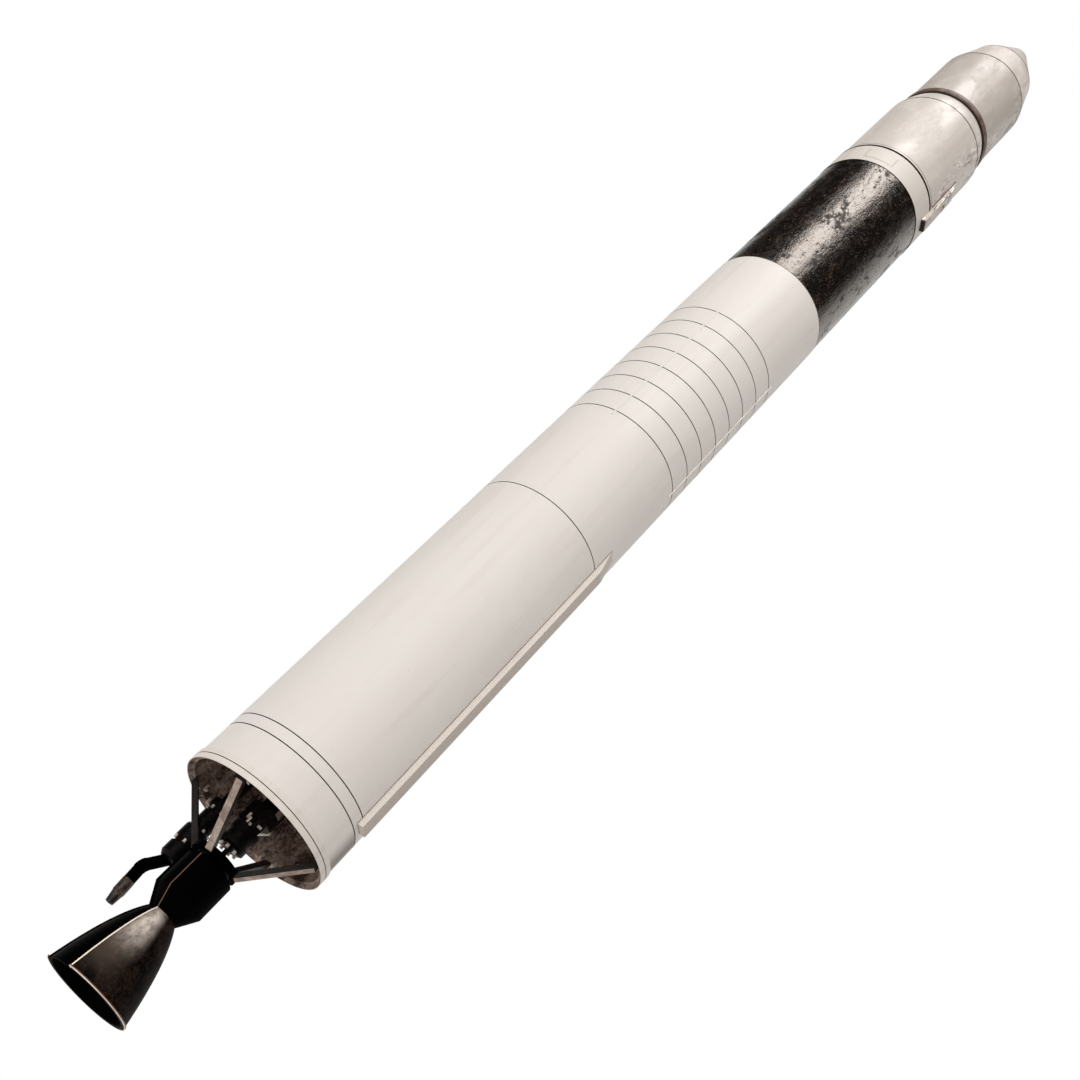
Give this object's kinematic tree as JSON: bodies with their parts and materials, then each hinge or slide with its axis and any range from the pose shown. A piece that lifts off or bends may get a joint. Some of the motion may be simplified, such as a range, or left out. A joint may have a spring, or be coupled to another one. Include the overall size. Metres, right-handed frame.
{
  "type": "model rocket",
  "caption": "Finless flying scale model of an upper rocket stage: banded body, raceway, pull-off nose, and a pull-off tail with a gimballed display engine.",
  "frame": {"origin": "centre of the aft rim, where the body would meet a lower stage or a stand", "axes": "+Z along the body's axis towards the nose, -Y the side seen in the picture, +Y the side with the launch lugs"},
  "size_m": [0.0672, 0.0739, 0.8091],
  "materials": {
    "body_tube": "dark sealed card",
    "white_skin": "matt off-white paint over card, lightly scuffed",
    "white_collar": "matt off-white paint",
    "rivet": "stained",
    "black_skin": "black paint with a mottled sheen",
    "white_moulding": "matt off-white paint",
    "nose_white": "matt off-white paint",
    "nose_cap": "matt warm grey",
    "dark_ring": "dark brown, streaked",
    "inner_card": "dark stained card",
    "shoulder_card": "bare card",
    "motor_card": "bare spiral card",
    "plywood": "bare plywood",
    "lug_card": "matt off-white paint",
    "vent_black": "black",
    "steel_wire": "bare wire",
    "strut_metal": "metallic paint, worn",
    "bracket_metal": "pale metallic paint",
    "engine_black": "near-black, semi-gloss",
    "liner_black": "black",
    "nozzle_metal": "dark mottled metallic paint",
    "sleeve_metal": "heat-stained metallic paint",
    "bright_bolt": "bright",
    "tray_metal": "pale paint",
    "exit_bead": "bright worn edge"
  },
  "bodies": {
    "airframe": {"lower_body_tube": "body_tube", "upper_body_tube": "body_tube", "tube_coupler": "inner_card", "recovery_baffle": "plywood", "seam_band": "white_skin", "aft_skin": "white_skin", "plain_skin": "white_skin", "tank_band_1": "white_skin", "tank_band_2": "white_skin", "tank_band_3": "white_skin", "tank_band_4": "white_skin", "tank_band_5": "white_skin", "tank_band_6": "white_skin", "tank_band_7": "white_skin", "forward_tank_skin": "white_skin", "seam_strips": "white_skin", "black_skin": "black_skin", "rivet_collar": "white_collar", "collar_rivets": "rivet", "upper_skin": "white_skin", "nose_adapter": "white_moulding", "raceway_cover": "white_moulding", "forward_fairing": "white_moulding", "fairing_vent": "vent_black", "motor_tube": "motor_card", "centering_rings": "plywood", "thrust_ring": "motor_card", "launch_lug_lower": "lug_card", "launch_lug_upper": "lug_card", "cord_anchor": "steel_wire"},
    "tail": {"aft_ring": "white_moulding", "skirt_tube": "body_tube", "skirt_skin": "white_skin", "tail_coupler": "inner_card", "tail_bulkhead": "inner_card", "strut_1": "strut_metal", "strut_2": "strut_metal", "strut_3": "strut_metal", "strut_4": "strut_metal", "wall_clips": "bracket_metal", "strut_hub": "engine_black", "thrust_post": "engine_black", "post_bolts": "bright_bolt", "feed_pipe": "engine_black", "turbopump": "engine_black", "pump_bolts": "bright_bolt", "exhaust_duct": "engine_black", "duct_sleeve": "sleeve_metal", "wiring_tray": "tray_metal"},
    "gimbal": {"gimbal_ring": "engine_black"},
    "engine": {"injector_head": "engine_black", "thrust_chamber": "liner_black", "chamber_jacket": "engine_black", "nozzle_jacket": "nozzle_metal", "exit_ring": "exit_bead"},
    "nose": {"separation_ring": "dark_ring", "nose_tube": "nose_white", "nose_frustum": "white_moulding", "nose_cap": "nose_cap", "nose_shoulder": "shoulder_card"}
  },
  "joints": [
    {"name": "nose_pull", "type": "slide", "parent": "airframe", "child": "nose", "axis": [0, 0, 1], "range_m": [0, 0.09]},
    {"name": "tail_pull", "type": "slide", "parent": "airframe", "child": "tail", "axis": [0, 0, -1], "range_m": [0, 0.09]},
    {"name": "gimbal_pitch", "type": "hinge", "parent": "tail", "child": "gimbal", "pos_m": [0, 0, -0.0196], "axis": [1, 0, 0], "range_deg": [-3.5, 3.5]},
    {"name": "gimbal_yaw", "type": "hinge", "parent": "gimbal", "child": "engine", "pos_m": [0, 0, -0.0196], "axis": [0, 1, 0], "range_deg": [-3.5, 3.5]}
  ]
}
